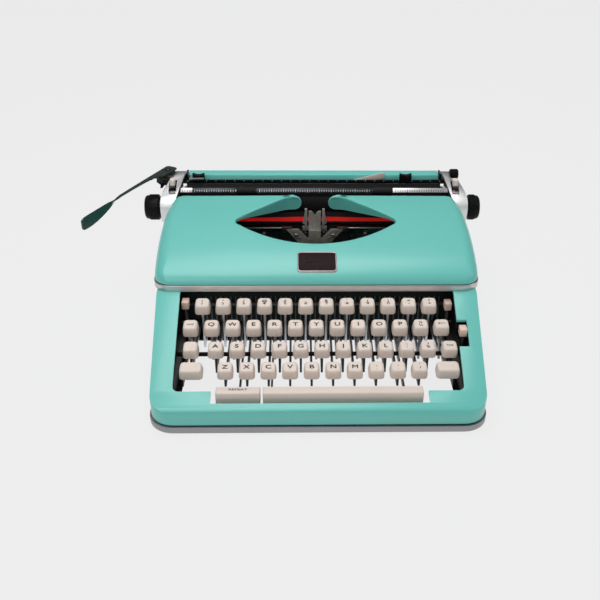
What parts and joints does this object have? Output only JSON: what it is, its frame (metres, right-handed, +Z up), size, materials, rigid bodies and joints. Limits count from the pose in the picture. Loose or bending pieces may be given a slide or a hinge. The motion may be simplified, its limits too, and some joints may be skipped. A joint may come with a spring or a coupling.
{
  "type": "typewriter",
  "caption": "Portable manual typewriter in mint green with cream keys, a lift-up ribbon cover, silver trim and a sliding carriage with a long return lever.",
  "frame": {"origin": "centre of the footprint of the whole machine, on the surface it stands on", "axes": "+X to the typist's right along the platen, +Y to the back, +Z up"},
  "size_m": [0.3985, 0.3174, 0.1216],
  "materials": {
    "rubber": "black moulded rubber",
    "rim_metal": "silver painted steel",
    "mint_paint": "satin mint green enamel",
    "trim_silver": "brushed aluminium strip",
    "badge_metal": "chromed frame with a dark blank field",
    "black_paint": "semi-gloss black enamel",
    "dark_frame": "dark grey phosphate",
    "bright_steel": "nickelled steel",
    "ribbon_ink": "inked cotton ribbon, red and black",
    "spool_metal": "black enamelled tin",
    "bell_metal": "nickelled bell metal",
    "end_silver": "silver painted die casting",
    "platen_rubber": "black platen rubber",
    "knob_plastic": "black moulded plastic",
    "scale_metal": "chromed scale with black graduations",
    "key_cream": "cream moulded plastic with printed legends",
    "lever_chrome": "dark chromed steel"
  },
  "bodies": {
    "base": {"rubber_feet": "rubber", "base_tray": "rim_metal", "bottom_pan": "black_paint", "lower_shell": "mint_paint", "cover_trim": "trim_silver", "chassis_frame": "dark_frame", "key_comb": "dark_frame", "key_rods": "bright_steel", "type_segment": "bright_steel", "type_bars": "bright_steel", "type_guide": "bright_steel", "ribbon": "ribbon_ink", "carriage_rail": "bright_steel", "margin_bell": "bell_metal"},
    "cover": {"ribbon_cover": "mint_paint", "badge_plate": "badge_metal"},
    "carriage": {"carriage_frame": "dark_frame", "end_cover_left": "end_silver", "end_cover_right": "end_silver", "paper_table": "mint_paint", "paper_pan": "black_paint", "feed_rollers": "platen_rubber", "margin_rail": "bright_steel"},
    "platen_roller": {"platen": "platen_rubber", "platen_knobs": "knob_plastic"},
    "bail": {"paper_bail": "scale_metal", "bail_rollers": "platen_rubber"},
    "return_arm": {"return_lever": "lever_chrome"},
    "carriage_release": {"carriage_release_levers": "key_cream"},
    "paper_release": {"paper_release_lever": "knob_plastic"},
    "support_arm": {"paper_support_arm": "key_cream"},
    "left_stop": {"margin_stop_left": "knob_plastic"},
    "right_stop": {"margin_stop_right": "knob_plastic"},
    "vibrator": {"ribbon_vibrator": "bright_steel"},
    "left_spool": {"ribbon_spool_left": "spool_metal"},
    "right_spool": {"ribbon_spool_right": "spool_metal"},
    "type_bar": {"active_type_bar": "bright_steel"},
    "drum": {"mainspring_drum": "bright_steel"},
    "escapement": {"escapement_wheel": "bright_steel"},
    "space": {"space_bar": "key_cream"},
    "repeat": {"repeat_key": "key_cream"},
    "shift": {"shift_keys": "key_cream"},
    "shift_lock": {"shift_lock_key": "key_cream"},
    "margin_release": {"margin_release_key": "key_cream"},
    "backspace": {"backspace_key": "key_cream"},
    "tab": {"tab_key": "key_cream"},
    "selector_left": {"selector_lever_left": "key_cream"},
    "selector_right": {"selector_lever_right": "key_cream"},
    "selector_side": {"selector_lever_side": "key_cream"},
    "column_01": {"keys_column_01": "key_cream"},
    "column_02": {"keys_column_02": "key_cream"},
    "column_03": {"keys_column_03": "key_cream"},
    "column_04": {"keys_column_04": "key_cream"},
    "column_05": {"keys_column_05": "key_cream"},
    "column_06": {"keys_column_06": "key_cream"},
    "column_07": {"keys_column_07": "key_cream"},
    "column_08": {"keys_column_08": "key_cream"},
    "column_09": {"keys_column_09": "key_cream"},
    "column_10": {"keys_column_10": "key_cream"},
    "column_11": {"keys_column_11": "key_cream"}
  },
  "joints": [
    {"name": "carriage_travel", "type": "slide", "parent": "base", "child": "carriage", "axis": [-1, 0, 0], "range_m": [-0.115, 0.115]},
    {"name": "cover_lift", "type": "hinge", "parent": "base", "child": "cover", "pos_m": [0.02135, -0.04225, 0.0812], "axis": [1, 0, 0], "range_deg": [0, 60]},
    {"name": "platen_turn", "type": "hinge", "parent": "carriage", "child": "platen_roller", "pos_m": [0.02135, 0.11475, 0.0885], "axis": [1, 0, 0], "continuous": true},
    {"name": "bail_lift", "type": "hinge", "parent": "carriage", "child": "bail", "pos_m": [0.02135, 0.13175, 0.1035], "axis": [-1, 0, 0], "range_deg": [0, 50]},
    {"name": "return_swing", "type": "hinge", "parent": "carriage", "child": "return_arm", "pos_m": [-0.13664, 0.13875, 0.118], "axis": [0, 0, 1], "range_deg": [0, 25], "stiffness_Nm_per_rad": 0.15, "springref_deg": -11.46},
    {"name": "carriage_release_tip", "type": "hinge", "parent": "carriage", "child": "carriage_release", "pos_m": [0.02135, 0.13475, 0.096], "axis": [1, 0, 0], "range_deg": [0, 8], "stiffness_Nm_per_rad": 0.1, "springref_deg": -8.59},
    {"name": "paper_release_tip", "type": "hinge", "parent": "carriage", "child": "paper_release", "pos_m": [0.17336, 0.14275, 0.1], "axis": [1, 0, 0], "range_deg": [0, 10]},
    {"name": "support_arm_raise", "type": "hinge", "parent": "carriage", "child": "support_arm", "pos_m": [0.06735, 0.14075, 0.106], "axis": [0, -1, 0], "range_deg": [0, 75]},
    {"name": "left_stop_slide", "type": "slide", "parent": "carriage", "child": "left_stop", "axis": [1, 0, 0], "range_m": [-0.004, 0.1]},
    {"name": "right_stop_slide", "type": "slide", "parent": "carriage", "child": "right_stop", "axis": [1, 0, 0], "range_m": [-0.05, 0.03]},
    {"name": "vibrator_lift", "type": "slide", "parent": "base", "child": "vibrator", "axis": [0, 0, 1], "range_m": [0, 0.009]},
    {"name": "left_spool_turn", "type": "hinge", "parent": "base", "child": "left_spool", "pos_m": [-0.07365, 0.04475, 0.086], "axis": [0, 0, 1], "continuous": true},
    {"name": "right_spool_turn", "type": "hinge", "parent": "base", "child": "right_spool", "pos_m": [0.11636, 0.04475, 0.086], "axis": [0, 0, 1], "continuous": true},
    {"name": "drum_turn", "type": "hinge", "parent": "base", "child": "drum", "pos_m": [-0.07064, 0.11075, 0.033], "axis": [0, 0, 1], "continuous": true},
    {"name": "escapement_turn", "type": "hinge", "parent": "base", "child": "escapement", "pos_m": [0.02135, 0.13275, 0.0612], "axis": [0, 1, 0], "continuous": true},
    {"name": "type_bar_swing", "type": "hinge", "parent": "base", "child": "type_bar", "pos_m": [0.0226, 0.08075, 0.03802], "axis": [-0.9997, 0, -0.024], "range_deg": [0, 75]},
    {"name": "column_01_press", "type": "hinge", "parent": "base", "child": "column_01", "pos_m": [0.02135, 0.06775, 0.027], "axis": [1, 0, 0], "range_deg": [0, 4], "stiffness_Nm_per_rad": 0.6, "springref_deg": -8.59},
    {"name": "column_02_press", "type": "hinge", "parent": "base", "child": "column_02", "pos_m": [0.02135, 0.06775, 0.027], "axis": [1, 0, 0], "range_deg": [0, 4], "stiffness_Nm_per_rad": 0.6, "springref_deg": -8.59},
    {"name": "column_03_press", "type": "hinge", "parent": "base", "child": "column_03", "pos_m": [0.02135, 0.06775, 0.027], "axis": [1, 0, 0], "range_deg": [0, 4], "stiffness_Nm_per_rad": 0.6, "springref_deg": -8.59},
    {"name": "column_04_press", "type": "hinge", "parent": "base", "child": "column_04", "pos_m": [0.02135, 0.06775, 0.027], "axis": [1, 0, 0], "range_deg": [0, 4], "stiffness_Nm_per_rad": 0.6, "springref_deg": -8.59},
    {"name": "column_05_press", "type": "hinge", "parent": "base", "child": "column_05", "pos_m": [0.02135, 0.06775, 0.027], "axis": [1, 0, 0], "range_deg": [0, 4], "stiffness_Nm_per_rad": 0.6, "springref_deg": -8.59},
    {"name": "column_06_press", "type": "hinge", "parent": "base", "child": "column_06", "pos_m": [0.02135, 0.06775, 0.027], "axis": [1, 0, 0], "range_deg": [0, 4], "stiffness_Nm_per_rad": 0.6, "springref_deg": -8.59},
    {"name": "column_07_press", "type": "hinge", "parent": "base", "child": "column_07", "pos_m": [0.02135, 0.06775, 0.027], "axis": [1, 0, 0], "range_deg": [0, 4], "stiffness_Nm_per_rad": 0.6, "springref_deg": -8.59},
    {"name": "column_08_press", "type": "hinge", "parent": "base", "child": "column_08", "pos_m": [0.02135, 0.06775, 0.027], "axis": [1, 0, 0], "range_deg": [0, 4], "stiffness_Nm_per_rad": 0.6, "springref_deg": -8.59},
    {"name": "column_09_press", "type": "hinge", "parent": "base", "child": "column_09", "pos_m": [0.02135, 0.06775, 0.027], "axis": [1, 0, 0], "range_deg": [0, 4], "stiffness_Nm_per_rad": 0.6, "springref_deg": -8.59},
    {"name": "column_10_press", "type": "hinge", "parent": "base", "child": "column_10", "pos_m": [0.02135, 0.06775, 0.027], "axis": [1, 0, 0], "range_deg": [0, 4], "stiffness_Nm_per_rad": 0.6, "springref_deg": -8.59},
    {"name": "column_11_press", "type": "hinge", "parent": "base", "child": "column_11", "pos_m": [0.02135, 0.06775, 0.027], "axis": [1, 0, 0], "range_deg": [0, 4], "stiffness_Nm_per_rad": 0.6, "springref_deg": -8.59},
    {"name": "space_bar_press", "type": "hinge", "parent": "base", "child": "space", "pos_m": [0.04235, 0.00275, 0.0145], "axis": [1, 0, 0], "range_deg": [0, 2.8], "stiffness_Nm_per_rad": 1, "springref_deg": -8.59},
    {"name": "repeat_press", "type": "hinge", "parent": "base", "child": "repeat", "pos_m": [-0.04865, 0.00275, 0.0145], "axis": [1, 0, 0], "range_deg": [0, 2.8], "stiffness_Nm_per_rad": 0.6, "springref_deg": -8.59},
    {"name": "shift_press", "type": "hinge", "parent": "base", "child": "shift", "pos_m": [0.02135, 0.06775, 0.027], "axis": [1, 0, 0], "range_deg": [0, 3.2], "stiffness_Nm_per_rad": 1, "springref_deg": -11.46},
    {"name": "shift_lock_press", "type": "hinge", "parent": "base", "child": "shift_lock", "pos_m": [0.02135, 0.06775, 0.027], "axis": [1, 0, 0], "range_deg": [0, 3.1], "stiffness_Nm_per_rad": 0.3, "springref_deg": -8.59},
    {"name": "margin_release_press", "type": "hinge", "parent": "base", "child": "margin_release", "pos_m": [0.02135, 0.06775, 0.027], "axis": [1, 0, 0], "range_deg": [0, 3.5], "stiffness_Nm_per_rad": 0.3, "springref_deg": -8.59},
    {"name": "backspace_press", "type": "hinge", "parent": "base", "child": "backspace", "pos_m": [0.02135, 0.06775, 0.027], "axis": [1, 0, 0], "range_deg": [0, 3.5], "stiffness_Nm_per_rad": 0.3, "springref_deg": -8.59},
    {"name": "tab_press", "type": "hinge", "parent": "base", "child": "tab", "pos_m": [0.02135, 0.06775, 0.027], "axis": [1, 0, 0], "range_deg": [0, 3.1], "stiffness_Nm_per_rad": 0.3, "springref_deg": -8.59},
    {"name": "selector_left_set", "type": "hinge", "parent": "base", "child": "selector_left", "pos_m": [-0.10114, -0.04525, 0.044], "axis": [1, 0, 0], "range_deg": [-6, 6]},
    {"name": "selector_right_set", "type": "hinge", "parent": "base", "child": "selector_right", "pos_m": [0.14386, -0.04525, 0.044], "axis": [1, 0, 0], "range_deg": [-6, 6]},
    {"name": "selector_side_set", "type": "hinge", "parent": "base", "child": "selector_side", "pos_m": [0.15335, -0.07925, 0.034], "axis": [1, 0, 0], "range_deg": [-5, 5]}
  ],
  "couplings": [
    {"joint": "drum_turn", "follows": "carriage_travel", "rad_per_m": 45.455},
    {"joint": "escapement_turn", "follows": "carriage_travel", "rad_per_m": -125},
    {"joint": "type_bar_swing", "follows": "column_06_press", "ratio": 18.75}
  ]
}
